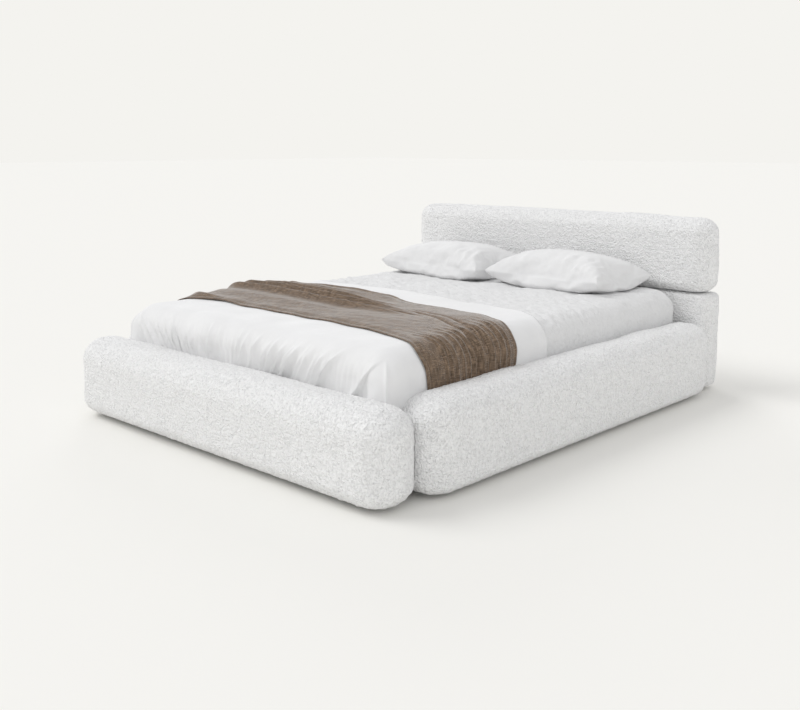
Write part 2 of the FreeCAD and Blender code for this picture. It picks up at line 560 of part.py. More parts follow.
DUVET_HALF = f"({COVERLET_HALF} + Dims.duvet_side)"
DUVET_FOOT = f"({COVERLET_FOOT} - Dims.duvet_front)"
DUVET_TOP = f"({COVERLET_TOP} + Dims.duvet_thickness)"
duvet_size = (f"(2 * {DUVET_HALF})", f"(Dims.duvet_turn - {DUVET_FOOT})",
              f"({DUVET_TOP} - Dims.bedding_bottom)")
duvet_low = (f"(0 - {DUVET_HALF})", DUVET_FOOT, "Dims.bedding_bottom")
duvet_round = [(lengthwise_top_edges, "Dims.duvet_radius")]
duvet_block = soft_block("duvet_block", duvet_size, duvet_low, duvet_round)
duvet_space = soft_block("duvet_space", cover_size, cover_low, cover_round)
keep(cut("duvet_quilt", duvet_block, duvet_space), "duvet")

THROW_HALF = f"({DUVET_HALF} + Dims.throw_thickness)"
THROW_LENGTH = "(Dims.throw_head_edge - Dims.throw_foot_edge)"
throw_size = (f"(2 * {THROW_HALF})", THROW_LENGTH,
              f"({DUVET_TOP} + Dims.throw_thickness - Dims.bedding_bottom)")
throw_low = (f"(0 - {THROW_HALF})", "Dims.throw_foot_edge", "Dims.bedding_bottom")
throw_round = [(lengthwise_top_edges, "Dims.duvet_radius + Dims.throw_thickness")]
throw_block = soft_block("throw_block", throw_size, throw_low, throw_round)
throw_space = soft_block("throw_space", duvet_size, duvet_low, duvet_round)
keep(cut("throw_blanket", throw_block, throw_space), "throw")

# ---- pillows ----
for side, turn in (("left", "Dims.left_pillow_turn"), ("right", "Dims.right_pillow_turn")):
    size = ("Dims.pillow_width", "Dims.pillow_depth", "Dims.pillow_height")
    corner = (f"(Dims.{side}_pillow_centre - Dims.pillow_width / 2)",
              f"(Dims.{side}_pillow_row - Dims.pillow_depth / 2)", f"({COVERLET_TOP} + Dims.lift_gap)")
    rounding = [
        (upright_edges, "Dims.pillow_plan_radius"),
        (top_edges, "Dims.pillow_edge_radius"),
        (bottom_edges, "Dims.pillow_edge_radius"),
    ]
    outer, inner = skinned_block(f"pillow_{side}", size, corner, rounding, "Dims.pillow_skin", turn)
    keep(cut(f"pillow_{side}_skin", outer, inner), f"pillow_{side}_case")
    keep(inner, f"pillow_{side}_filling")

doc.recompute()
for item in doc.Objects:
    if "Invalid" in item.State or "Error" in item.State:
        raise RuntimeError(f"{item.Label} failed: {item.State}")
os.makedirs("parts", exist_ok=True)
for piece in pieces:
    if piece.Shape.isNull() or not piece.Shape.isValid():
        raise RuntimeError(f"{piece.Label} has no valid shape")
    piece.Shape.exportStep(f"parts/{piece.Label}.step")
    print(f"{piece.Label:32s} {piece.Shape.Volume / 1e6:10.3f} litres, {len(piece.Shape.Solids)} solids")
print(len(pieces), "pieces")
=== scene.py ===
import math

import bmesh
import bpy
import numpy as np
from mathutils import Euler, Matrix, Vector


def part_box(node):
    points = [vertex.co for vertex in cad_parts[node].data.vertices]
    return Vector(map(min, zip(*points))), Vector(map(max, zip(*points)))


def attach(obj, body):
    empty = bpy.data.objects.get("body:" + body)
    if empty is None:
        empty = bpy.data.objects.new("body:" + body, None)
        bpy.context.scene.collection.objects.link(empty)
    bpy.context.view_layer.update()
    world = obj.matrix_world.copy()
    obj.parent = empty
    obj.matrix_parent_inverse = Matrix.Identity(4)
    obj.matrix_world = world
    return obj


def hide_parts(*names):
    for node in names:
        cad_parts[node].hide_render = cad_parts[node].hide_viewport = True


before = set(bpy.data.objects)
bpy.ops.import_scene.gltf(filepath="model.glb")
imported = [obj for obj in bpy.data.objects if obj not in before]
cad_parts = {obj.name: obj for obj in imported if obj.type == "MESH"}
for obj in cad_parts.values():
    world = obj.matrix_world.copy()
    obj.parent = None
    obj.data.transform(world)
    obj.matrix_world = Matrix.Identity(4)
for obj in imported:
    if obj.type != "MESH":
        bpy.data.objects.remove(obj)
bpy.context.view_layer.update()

# A low upholstered bed, made up with coverlet, duvet, throw and two pillows. Metres; +X is the width,
# the head is at +Y and +Z is up. The blocks, mattress and bedding are made here; the timber, steel and
# plastic parts are the CAD model's, dressed in materials.


# ---- camera, lights and floor ----
CAMERA_PLACE = (3.034, -3.330, 1.204)
CAMERA_TURN = math.radians(43.25)
CAMERA_DIP = math.radians(8.02)
CAMERA_LENS = 43.79
CAMERA_SHIFT = -0.092
SENSOR_WIDTH = 36.0
CAMERA_FAR = 300.0

BACKDROP = (0.905, 0.896, 0.863)
SKY = (0.70, 0.70, 0.706)
KEY_FROM, KEY_STRENGTH, KEY_SPREAD = (-0.60, -0.38, 0.74), 1.05, math.radians(36)
RIM_FROM, RIM_STRENGTH, RIM_SPREAD = (-0.75, 0.60, 0.28), 0.50, math.radians(25)
FILL_FROM, FILL_STRENGTH, FILL_SPREAD = (0.75, -0.45, 0.45), 0.28, math.radians(60)
FLOOR_COLOUR = (0.895, 0.887, 0.854)
FLOOR_HALF = 60.0


def make_camera():
    data = bpy.data.cameras.new("camera")
    data.lens = CAMERA_LENS
    data.sensor_width = SENSOR_WIDTH
    data.shift_y = CAMERA_SHIFT
    data.clip_end = CAMERA_FAR
    camera = bpy.data.objects.new("camera", data)
    camera.location = CAMERA_PLACE
    camera.rotation_euler = Euler((math.pi / 2 - CAMERA_DIP, 0.0, CAMERA_TURN), "XYZ")
    bpy.context.scene.collection.objects.link(camera)
    bpy.context.scene.camera = camera


def make_world():
    """Even studio light: the camera sees the pale backdrop, the object is lit by a neutral sky."""
    world = bpy.data.worlds.new("studio")
    bpy.context.scene.world = world
    world.use_nodes = True
    nodes, links = world.node_tree.nodes, world.node_tree.links
    nodes.clear()
    seen = nodes.new("ShaderNodeBackground")
    seen.inputs["Color"].default_value = (*BACKDROP, 1)
    lit = nodes.new("ShaderNodeBackground")
    lit.inputs["Color"].default_value = (*SKY, 1)
    path = nodes.new("ShaderNodeLightPath")
    mix = nodes.new("ShaderNodeMixShader")
    out = nodes.new("ShaderNodeOutputWorld")
    links.new(path.outputs["Is Camera Ray"], mix.inputs["Fac"])
    links.new(lit.outputs["Background"], mix.inputs[1])
    links.new(seen.outputs["Background"], mix.inputs[2])
    links.new(mix.outputs["Shader"], out.inputs["Surface"])


def make_sun(name, source, strength, spread):
    data = bpy.data.lights.new(name, "SUN")
    data.energy = strength
    data.angle = spread
    sun = bpy.data.objects.new(name, data)
    sun.rotation_euler = Vector(source).to_track_quat("Z", "Y").to_euler()
    bpy.context.scene.collection.objects.link(sun)


def make_floor(material):
    mesh = bpy.data.meshes.new("floor")
    h = FLOOR_HALF
    mesh.from_pydata([(-h, -h, 0), (h, -h, 0), (h, h, 0), (-h, h, 0)], [], [(0, 1, 2, 3)])
    floor = bpy.data.objects.new("floor", mesh)
    bpy.context.scene.collection.objects.link(floor)
    mesh.materials.append(material)


# ---- node-material helpers ----
THREADS_APART = 50.0  # how far apart in the noise two threads may start


class Shader:
    """A new node material with a Principled BSDF, and short calls that add and link its nodes."""

    def __init__(self, name, colour, roughness, **constants):
        self.material = bpy.data.materials.new(name)
        self.material.use_nodes = True
        self.material.diffuse_color = (*colour, 1)
        self.nodes = self.material.node_tree.nodes
        self.links = self.material.node_tree.links
        self.surface = self.nodes["Principled BSDF"]
        self.surface.inputs["Base Color"].default_value = (*colour, 1)
        self.surface.inputs["Roughness"].default_value = roughness
        for socket, value in constants.items():
            self.surface.inputs[socket.replace("_", " ")].default_value = value

    def add(self, kind, **settings):
        node = self.nodes.new("ShaderNode" + kind)
        for key, value in settings.items():
            setattr(node, key, value)
        return node

    def feed(self, node, socket, value):
        if hasattr(value, "is_linked"):
            self.links.new(value, node.inputs[socket])
        else:
            node.inputs[socket].default_value = value

    def place(self, stretch=(1, 1, 1), kind="Object"):
        """Texture coordinates in metres, stretched along each axis."""
        source = self.add("TexCoord").outputs[kind]
        mapping = self.add("Mapping")
        self.links.new(source, mapping.inputs["Vector"])
        mapping.inputs["Scale"].default_value = stretch
        return mapping.outputs["Vector"]

    def noise(self, vector, scale, detail=2.0, roughness=0.5):
        node = self.add("TexNoise")
        self.links.new(vector, node.inputs["Vector"])
        node.inputs["Scale"].default_value = scale
        node.inputs["Detail"].default_value = detail
        node.inputs["Roughness"].default_value = roughness
        return node

    def math(self, operation, first, second=0.0, third=None):
        node = self.add("Math", operation=operation)
        self.feed(node, 0, first)
        self.feed(node, 1, second)
        if third is not None:
            self.feed(node, 2, third)
        return node.outputs["Value"]

    def moved(self, vector, push, amount):
        """The coordinates pushed about by a noise colour, by up to about amount metres."""
        node = self.add("VectorMath", operation="MULTIPLY_ADD")
        self.links.new(push, node.inputs[0])
        node.inputs[1].default_value = (amount, amount, amount)
        self.links.new(vector, node.inputs[2])
        return node.outputs["Vector"]

    def threads(self, across, along, pitch, length):
        """One tone for each thread of a weave, changing slowly along it over about a length."""
        row = self.math("FLOOR", self.math("DIVIDE", across, pitch))
        start = self.add("TexWhiteNoise", noise_dimensions="1D")
        self.links.new(row, start.inputs["W"])
        place = self.math("DIVIDE", along, length)
        tone = self.add("TexNoise", noise_dimensions="1D")
        apart = self.math("MULTIPLY_ADD", start.outputs["Value"], THREADS_APART, place)
        self.links.new(apart, tone.inputs["W"])
        tone.inputs["Scale"].default_value = 1.0
        tone.inputs["Detail"].default_value = 1.0
        return tone.outputs["Fac"]

    def ramp(self, value, stops):
        node = self.add("ValToRGB")
        self.links.new(value, node.inputs["Fac"])
        elements = node.color_ramp.elements
        while len(elements) < len(stops):
            elements.new(0.5)
        for element, (at, colour) in zip(elements, stops):
            element.position = at
            element.color = (*colour, 1)
        return node.outputs["Color"]

    def colour(self, socket):
        self.links.new(socket, self.surface.inputs["Base Color"])

    def bump(self, height, distance, strength=1.0):
        node = self.add("Bump")
        self.links.new(height, node.inputs["Height"])
        node.inputs["Distance"].default_value = distance
        node.inputs["Strength"].default_value = strength
        before = self.surface.inputs["Normal"].links
        if before:
            self.links.new(before[0].from_socket, node.inputs["Normal"])
        self.links.new(node.outputs["Normal"], self.surface.inputs["Normal"])


def shade(colour, factor):
    return tuple(c * factor for c in colour)


# ---- fabrics ----
def boucle_material():
    """Curly looped wool: irregular nubs of about 8 mm, with painted shade greying the gaps between them."""
    white = (0.945, 0.945, 0.943)
    m = Shader("boucle", white, 0.95, Sheen_Weight=0.12, Sheen_Roughness=0.6)
    at = m.place()
    push = m.noise(at, scale=90, detail=1).outputs["Color"]
    bent = m.moved(at, push, amount=0.008)
    nubs = m.noise(bent, scale=120, detail=1).outputs["Fac"]
    # painted shade: the colour darkens where the nub pattern is low, standing in for the shadow in the gaps
    # between nubs
    m.colour(m.ramp(nubs, [(0.30, shade(white, 0.90)), (0.50, white)]))
    m.bump(nubs, distance=0.0125)
    return m.material


def cotton_material(name, white):
    """Plain-woven bedding cotton with a faint unevenness."""
    m = Shader(name, white, 0.82, Sheen_Weight=0.15, Sheen_Roughness=0.4)
    at = m.place()
    patches = m.noise(at, scale=9, detail=3).outputs["Fac"]
    m.colour(m.ramp(patches, [(0.3, shade(white, 0.97)), (0.7, shade(white, 1.01))]))
    soft = m.noise(at, scale=26, detail=4, roughness=0.6).outputs["Fac"]
    m.bump(soft, distance=0.0012 * 3, strength=0.35)
    thread = m.noise(at, scale=900, detail=1).outputs["Fac"]
    m.bump(thread, distance=0.0004, strength=0.5)
    return m.material


def crinkle_material(name, white):
    """Crinkled cotton: short uneven puckers all over."""
    m = Shader(name, white, 0.85, Sheen_Weight=0.15, Sheen_Roughness=0.4)
    at = m.place((1.0, 1.7, 1.3))
    push = m.noise(at, scale=14).outputs["Color"]
    bent = m.moved(at, push, amount=0.05)
    puckers = m.add("TexVoronoi", feature="SMOOTH_F1")
    m.links.new(bent, puckers.inputs["Vector"])
    puckers.inputs["Scale"].default_value = 42
    puckers.inputs["Smoothness"].default_value = 0.8
    fine = m.noise(bent, scale=120, detail=3, roughness=0.6).outputs["Fac"]
    height = m.math("MULTIPLY_ADD", fine, 0.4, puckers.outputs["Distance"])
    m.colour(m.ramp(fine, [(0.25, shade(white, 0.96)), (0.75, white)]))
    m.bump(height, distance=0.007, strength=0.7)
    return m.material


THREAD_PITCH = 0.0026
SLUB_LENGTH = 0.045


def linen_material():
    """Taupe linen: slubby warp and weft threads, from dark to light brown."""
    brown = (0.168, 0.119, 0.081)
    m = Shader("throw_linen", brown, 0.9, Sheen_Weight=0.8, Sheen_Roughness=0.32, Specular_IOR_Level=0.3)
    place = m.add("SeparateXYZ")
    m.links.new(m.place(kind="UV"), place.inputs["Vector"])
    x, y = place.outputs["X"], place.outputs["Y"]
    warp = m.threads(x, y, THREAD_PITCH, SLUB_LENGTH)
    weft = m.threads(y, x, THREAD_PITCH, SLUB_LENGTH)
    threads = m.math("MULTIPLY_ADD", warp, 0.5, m.math("MULTIPLY", weft, 0.5))
    dark, light = shade(brown, 0.5), shade(brown, 1.75)
    m.colour(m.ramp(threads, [(0.32, dark), (0.5, brown), (0.68, light)]))
    m.bump(threads, distance=0.0025, strength=0.8)
    return m.material


def ticking_material():
    """Knitted mattress ticking, faintly mottled."""
    white = (0.82, 0.82, 0.80)
    m = Shader("mattress_ticking", white, 0.8, Sheen_Weight=0.1)
    mottle = m.noise(m.place(), scale=20).outputs["Fac"]
    m.colour(m.ramp(mottle, [(0.3, shade(white, 0.93)), (0.7, white)]))
    knit = m.noise(m.place((400, 400, 150)), scale=1.0, detail=1).outputs["Fac"]
    m.bump(knit, distance=0.0015, strength=0.6)
    return m.material


# ---- hard materials ----
def timber_material(name, colour, along):
    """Planed softwood with grain running along one axis."""
    m = Shader(name, colour, 0.6, Coat_Weight=0.05)
    at = m.place([1.6 if axis == along else 38.0 for axis in "xyz"])
    push = m.noise(at, scale=0.5).outputs["Color"]
    grain = m.noise(m.moved(at, push, amount=0.8), scale=1.0, detail=6, roughness=0.65).outputs["Fac"]
    fibre = m.noise(at, scale=6.0, detail=3).outputs["Fac"]
    stops = [(0.32, shade(colour, 0.58)), (0.5, colour), (0.68, shade(colour, 1.25))]
    m.colour(m.ramp(grain, stops))
    m.bump(fibre, distance=0.0006, strength=0.4)
    return m.material


def steel_material():
    """Black powder coat with a fine orange peel."""
    black = (0.025, 0.025, 0.027)
    m = Shader("black_steel", black, 0.5, Coat_Weight=0.1)
    speck = m.noise(m.place(), scale=700).outputs["Fac"]
    m.colour(m.ramp(speck, [(0.35, shade(black, 0.8)), (0.75, shade(black, 1.9))]))
    m.bump(speck, distance=0.0005, strength=0.5)
    return m.material


def zinc_material():
    """Zinc-plated screws and bolts, slightly blotched."""
    grey = (0.60, 0.60, 0.58)
    m = Shader("zinc_fasteners", grey, 0.35, Metallic=1.0)
    blotch = m.noise(m.place(), scale=260, detail=3).outputs["Fac"]
    m.colour(m.ramp(blotch, [(0.3, shade(grey, 0.75)), (0.7, shade(grey, 1.1))]))
    return m.material


def plastic_material():
    """Moulded black plastic, finely textured."""
    black = (0.04, 0.04, 0.042)
    m = Shader("glide_plastic", black, 0.55)
    grain = m.noise(m.place(), scale=1400, detail=1).outputs["Fac"]
    m.colour(m.ramp(grain, [(0.3, shade(black, 0.8)), (0.7, shade(black, 1.4))]))
    m.bump(grain, distance=0.0002, strength=0.4)
    return m.material


def webbing_material():
    """Woven black polyester strap with ribs across it."""
    black = (0.05, 0.05, 0.052)
    m = Shader("webbing", black, 0.8, Sheen_Weight=0.2)
    ribs = m.add("TexWave", bands_direction="Y")
    m.links.new(m.place(), ribs.inputs["Vector"])
    ribs.inputs["Scale"].default_value = 160
    ribs.inputs["Distortion"].default_value = 0.6
    m.colour(m.ramp(ribs.outputs["Fac"], [(0.2, shade(black, 0.5)), (0.8, shade(black, 1.8))]))
    m.bump(ribs.outputs["Fac"], distance=0.0008, strength=0.7)
    return m.material


def floor_material():
    return Shader("pale_floor", FLOOR_COLOUR, 1.0, Specular_IOR_Level=0.0).material


# ---- mesh helpers ----
def box_skin(lines, closed=("x-", "x+", "y-", "y+", "z-", "z+")):
    """Points and quads of the named faces of a box, gridded at the given x, y and z lines and welded."""
    points, quads, start = [], [], 0
    for axis in range(3):
        u, v = [i for i in range(3) if i != axis]
        for side in (0, 1):
            if "xyz"[axis] + "-+"[side] not in closed:
                continue
            uu, vv = np.meshgrid(lines[u], lines[v], indexing="ij")
            face = np.empty(uu.shape + (3,))
            face[..., u], face[..., v] = uu, vv
            face[..., axis] = lines[axis][-side]
            index = start + np.arange(uu.size).reshape(uu.shape)
            corners = [index[:-1, :-1], index[1:, :-1], index[1:, 1:], index[:-1, 1:]]
            quad = np.stack(corners, -1).reshape(-1, 4)
            if (side == 0) != (axis == 1):
                quad = quad[:, ::-1]
            points.append(face.reshape(-1, 3))
            quads.append(quad)
            start += uu.size
    return weld(np.concatenate(points), np.concatenate(quads))


def weld(points, quads):
    """Joins the points that lie within a micrometre of one another."""
    keys = np.round(points * 1e6).astype(np.int64)
    first, inverse = np.unique(keys, axis=0, return_index=True, return_inverse=True)[1:]
    return points[first], inverse.reshape(-1)[quads]


def evenly(low, high, step):
    return np.linspace(low, high, max(2, round((high - low) / step) + 1))


def spread_out(first, second):
    """Turns square rings of coordinates from 0 to 1 into round ones."""
    largest = np.maximum(first, second)
    length = np.maximum(np.hypot(first, second), 1e-9)
    return first * largest / length, second * largest / length


def soft_box(points, low, high, plan, top, bottom):
    """Box-skin points moved onto the box with rounded edges.

    plan is the radius of the upright edges; top and bottom are (inwards, upright) radii of the
    upper and lower edges, no larger than plan inwards, and None leaves those edges square."""
    low, high = np.array(low, float), np.array(high, float)
    centre, half = (low + high) / 2, (high - low) / 2
    flat = points[:, :2] - centre[:2]
    inset = np.min(half[:2] - np.abs(flat), axis=1)
    kept = np.clip(flat, -(half[:2] - plan), half[:2] - plan)
    reach = flat - kept
    u, v = spread_out(*(np.abs(reach) / plan).T)
    reach = np.sign(reach) * np.stack([u, v], 1) * plan
    outward = reach / np.maximum(np.linalg.norm(reach, axis=1, keepdims=True), 1e-9)
    height = points[:, 2].copy()
    pull = np.zeros(len(points))
    for radii, sign, level in ((top, 1, high[2]), (bottom, -1, low[2])):
        if radii is None:
            continue
        inwards, upright = radii
        a = np.clip((inwards - inset) / inwards, 0, 1)
        b = np.clip((sign * (points[:, 2] - level) + upright) / upright, 0, 1)
        a2, b2 = spread_out(a, b)
        near = b > 0
        pull += np.where(near, inwards * (a - a2), 0)
        height += np.where(near, sign * upright * (b2 - b), 0)
    placed = kept + reach - outward * pull[:, None] + centre[:2]
    return np.column_stack([placed, height])


def face_normals(points, quads):
    """Vertex normals of a quad mesh, from its faces."""
    p = points[quads]
    cross = np.cross(p[:, 2] - p[:, 0], p[:, 3] - p[:, 1])
    normal = np.zeros_like(points)
    for corner in range(4):
        for axis in range(3):
            normal[:, axis] += np.bincount(quads[:, corner], cross[:, axis], len(points))
    return normal / np.maximum(np.linalg.norm(normal, axis=1, keepdims=True), 1e-12)


def thicken(points, quads, thickness):
    """A closed mesh from an open surface: a second layer below it, joined along the open edges."""
    count = len(points)
    inner = points - face_normals(points, quads) * thickness[:, None]
    ends = np.roll(quads, -1, axis=1)
    edges = np.stack([quads.reshape(-1), ends.reshape(-1)], 1)
    forward = edges[:, 0] * count + edges[:, 1]
    backward = edges[:, 1] * count + edges[:, 0]
    rim = edges[~np.isin(forward, backward)]
    sides = np.stack([rim[:, 1], rim[:, 0], rim[:, 0] + count, rim[:, 1] + count], 1)
    return np.concatenate([points, inner]), np.concatenate([quads, quads[:, ::-1] + count, sides])


def smooth_step(value, low, high):
    t = np.clip((value - low) / (high - low), 0, 1)
    return t * t * (3 - 2 * t)


def ripple(points, wavelength, seed, waves=14, stretch=(1, 1, 1)):
    """A smooth random field of about unit size, made of plane waves of about one wavelength."""
    rng = np.random.default_rng(seed)
    total = np.zeros(len(points))
    for _ in range(waves):
        direction = rng.normal(size=3)
        direction /= np.linalg.norm(direction)
        pace = 2 * math.pi / (wavelength * rng.uniform(0.75, 1.35))
        total += np.sin(points @ (direction * pace / np.array(stretch)) + rng.uniform(0, 2 * math.pi))
    return total / math.sqrt(waves / 2)


def fold(offset, width, sharpness=1.5):
    """The cross-section of one fold: 1 on its ridge, falling to 0 about two widths away."""
    return np.exp(-np.abs(offset / width) ** sharpness)


def turn_matrix(degrees):
    """Rotates row vectors about the vertical."""
    c, s = math.cos(math.radians(degrees)), math.sin(math.radians(degrees))
    return np.array([[c, s, 0], [-s, c, 0], [0, 0, 1]])


def mesh_object(name, points, quads, material, uv=None):
    mesh = bpy.data.meshes.new(name)
    mesh.from_pydata(points.tolist(), [], quads.tolist())
    mesh.update()
    mesh.shade_smooth()
    mesh.materials.append(material)
    if uv is not None:
        layer = mesh.uv_layers.new(name="cloth")
        layer.data.foreach_set("uv", uv[quads.reshape(-1)].reshape(-1).astype(np.float32))
    piece = bpy.data.objects.new(name, mesh)
    bpy.context.scene.collection.objects.link(piece)
    return piece


def make_piece(name, points, quads, material, body, uv=None):
    """A visual piece that rides on a body and shows in a material slot."""
    piece = mesh_object(name, points, quads, material, uv)
    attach(piece, body)
    return piece


# ---- the five upholstered blocks ----
BLOCK_STEP = 0.0075
CROWN = 0.007
NUB_HEIGHT, NUB_LENGTH = 0.0009, 0.021
SLACK, SLACK_LENGTH = 0.0014, 0.30
INNER_SWELL = 1.3
INNER_NUBS = 0.4


def box_of(*names):
    corners = [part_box(name) for name in names]
    low = np.min([np.array(c[0]) for c in corners], axis=0)
    high = np.max([np.array(c[1]) for c in corners], axis=0)
    return low, high


def upholstered_block(name, material, plan, top, bottom, seed, stretch=1.0, trim=(0, 0, 0), inner=(0, 0, 0)):
    """A foam block in boucle: rounded edges, faces crowned between them, slightly uneven.

    stretch makes the rounding longer along the bed than across it; trim draws the faces in; inner is
    the direction of the flat face that the mattress and the brackets stand against."""
    low, high = box_of(name + "_cover")
    trim = np.array(trim) + CROWN
    low, high = low + trim * (1, 1, 0), high - trim
    lines = [evenly(a, b, BLOCK_STEP) for a, b in zip(low, high)]
    points, quads = box_skin(lines)
    scale = np.array([1, 1 / stretch, 1])
    points = soft_box(points * scale, low * scale, high * scale, plan, top, bottom) / scale
    normals = face_normals(points, quads)
    centre, half = (low + high) / 2, (high - low) / 2
    fade = 1 - np.clip(np.abs((points - centre) / half), 0, 1) ** 4
    swell = sum(normals[:, i] ** 2 * fade[:, (i + 1) % 3] * fade[:, (i + 2) % 3] for i in range(3))
    flat = smooth_step(normals @ np.array(inner, float), 0.3, 0.9)
    swell += (INNER_SWELL - swell) * flat
    upward = smooth_step(normals[:, 2], -0.75, -0.2)
    height = CROWN * swell * upward
    height += SLACK * ripple(points, SLACK_LENGTH, seed) * upward * (1 - flat)
    nubs = ripple(points, NUB_LENGTH, seed + 1, waves=24)
    height += NUB_HEIGHT * nubs * (1 - (1 - INNER_NUBS) * flat)
    points = points + normals * height[:, None]
    block = make_piece(name, points, quads, material, "frame")
    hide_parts(name + "_cover", name + "_foam")


def make_blocks(material):
    upholstered_block("footboard", material, plan=0.105, top=(0.10, 0.095), bottom=(0.07, 0.065),
                      seed=11, inner=(0, 1, 0))
    for side, seed, inward in (("left", 12, 1), ("right", 13, -1)):
        upholstered_block(f"rail_{side}", material, plan=0.085, top=(0.085, 0.085), bottom=(0.05, 0.045),
                          seed=seed, stretch=1.35, inner=(inward, 0, 0))
    upholstered_block("headboard_base", material, plan=0.045, top=(0.025, 0.02), bottom=(0.03, 0.03),
                      seed=14, inner=(0, -1, 0))
    upholstered_block("headboard_bolster", material, plan=0.085, top=(0.075, 0.07), bottom=(0.055, 0.05),
                      seed=15, trim=(0.016, 0, -0.010))


# ---- mattress ----
TICKING_INSET = 0.006
MATTRESS_STEP = 0.0125
MATTRESS_PLAN = 0.075
MATTRESS_EDGE = (0.035, 0.035)
QUILT_PITCH, BORDER_PITCH = 0.16, 0.11
QUILT_ROUND = 0.6
TAPE_FROM_EDGE, TAPE_HALF = 0.022, 0.006
QUILT_RELIEF = 0.004


def make_mattress(material):
    """Quilted ticking over the core, with a sewn tape round the top and bottom edges."""
    low, high = box_of("mattress_cover")
    low, high = low + TICKING_INSET, high - TICKING_INSET
    points, quads = box_skin([evenly(a, b, MATTRESS_STEP) for a, b in zip(low, high)])
    points = soft_box(points, low, high, MATTRESS_PLAN, MATTRESS_EDGE, MATTRESS_EDGE)
    normals = face_normals(points, quads)
    level = np.abs(normals[:, 2])
    diagonal_a = np.abs(np.sin((points[:, 0] + points[:, 1]) * math.pi / QUILT_PITCH))
    diagonal_b = np.abs(np.sin((points[:, 0] - points[:, 1]) * math.pi / QUILT_PITCH))
    quilt = np.minimum(diagonal_a, diagonal_b) ** QUILT_ROUND * level ** 2
    lengthwise = points[:, 0] * normals[:, 1] + points[:, 1] * normals[:, 0]
    border = np.abs(np.sin(lengthwise * math.pi / BORDER_PITCH)) ** QUILT_ROUND * (1 - level) ** 2
    edge = np.minimum(points[:, 2] - low[2], high[2] - points[:, 2])
    tape = fold(edge - TAPE_FROM_EDGE, TAPE_HALF, 4) * (level < 0.9)
    height = QUILT_RELIEF * quilt + QUILT_RELIEF * border + QUILT_RELIEF * tape
    points = points + normals * height[:, None]
    mattress = make_piece("mattress", points, quads, material, "mattress")
    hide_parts("mattress_cover", "mattress_core")


# ---- bedding: the shape that duvet, coverlet and throw share ----
BED_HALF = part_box("duvet")[1].x - 0.006
BED_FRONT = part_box("duvet")[0].y
BED_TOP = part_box("duvet")[1].z
BED_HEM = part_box("duvet")[0].z - 0.035
BED_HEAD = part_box("coverlet")[1].y
CORNER_ROUND = 0.115
EDGE_ROUND = (0.112, 0.105)
SHEET_ROUND = (0.105, 0.095)
SHEET_SQUASH = 2.2  # the sheet's corners are rounded this much less along the bed
OPEN_END = 1.0  # how far past its real ends a layer's rounded box runs, so that the ends stay square
# The rise and fall that all layers share: (height, wavelength, seed)
LIE_WAVES = ((0.0032, 0.55, 3), (0.0012, 0.2, 4))
SIDE_FOLD = 0.005
SIDE_FOLD_HALF = (0.012, 0.035)
SIDE_FOLD_PITCH = (0.05, 0.17)
DUVET_SIDE_SEED, SHEET_SIDE_SEED = 31, 32


def across(points, top):
    """Distance across the bed, measured on over the edge and down the side."""
    return points[:, 0] + np.sign(points[:, 0]) * (top - points[:, 2])


def along_only(values):
    """Points on a line, for a ripple that changes only with these values."""
    return np.column_stack([values, np.zeros((len(values), 2))])


def lie_of_bed(points):
    """The slow rise and fall that all layers share, fading down to the hem."""
    top = smooth_step(points[:, 2], BED_HEM, BED_TOP)
    return sum(height * ripple(points, length, seed) for height, length, seed in LIE_WAVES) * top


def pleat(offset, width, lean=0.0, sharpness=1.5):
    """A fold steeper on one side than on the other."""
    side = np.where(offset > 0, width * (1 + lean), width * (1 - lean))
    return np.exp(-np.abs(offset / side) ** sharpness)


def side_folds(points, seed):
    """Soft upright waves where the cloth hangs down at the sides."""
    rng = np.random.default_rng(seed)
    total = np.zeros(len(points))
    beyond = np.abs(points[:, 0]) - (BED_HALF - EDGE_ROUND[0])
    down = smooth_step(BED_TOP - points[:, 2], 0.015, 0.13) * smooth_step(beyond, 0.05, 0.10)
    for side in (-1, 1):
        on_side = points[:, 0] * side > 0
        at = BED_FRONT + 0.18
        while at < BED_HEAD:
            width = rng.uniform(*SIDE_FOLD_HALF)
            lean = rng.uniform(-0.45, 0.45)
            offset = points[:, 1] - at - lean * (BED_TOP - points[:, 2])
            total += on_side * pleat(offset, width, rng.uniform(-0.4, 0.4)) * rng.uniform(0.3, 1.0)
            at += rng.uniform(*SIDE_FOLD_PITCH)
    return SIDE_FOLD * down * (total - 0.35)


GATHER_START = 0.045
GATHER_SPAN = 0.27
GATHER_HEIGHT = 0.027
GATHER_HALF = (0.0055, 0.0125)
GATHER_PITCH = (0.018, 0.052)
GATHER_FINE = 0.0010


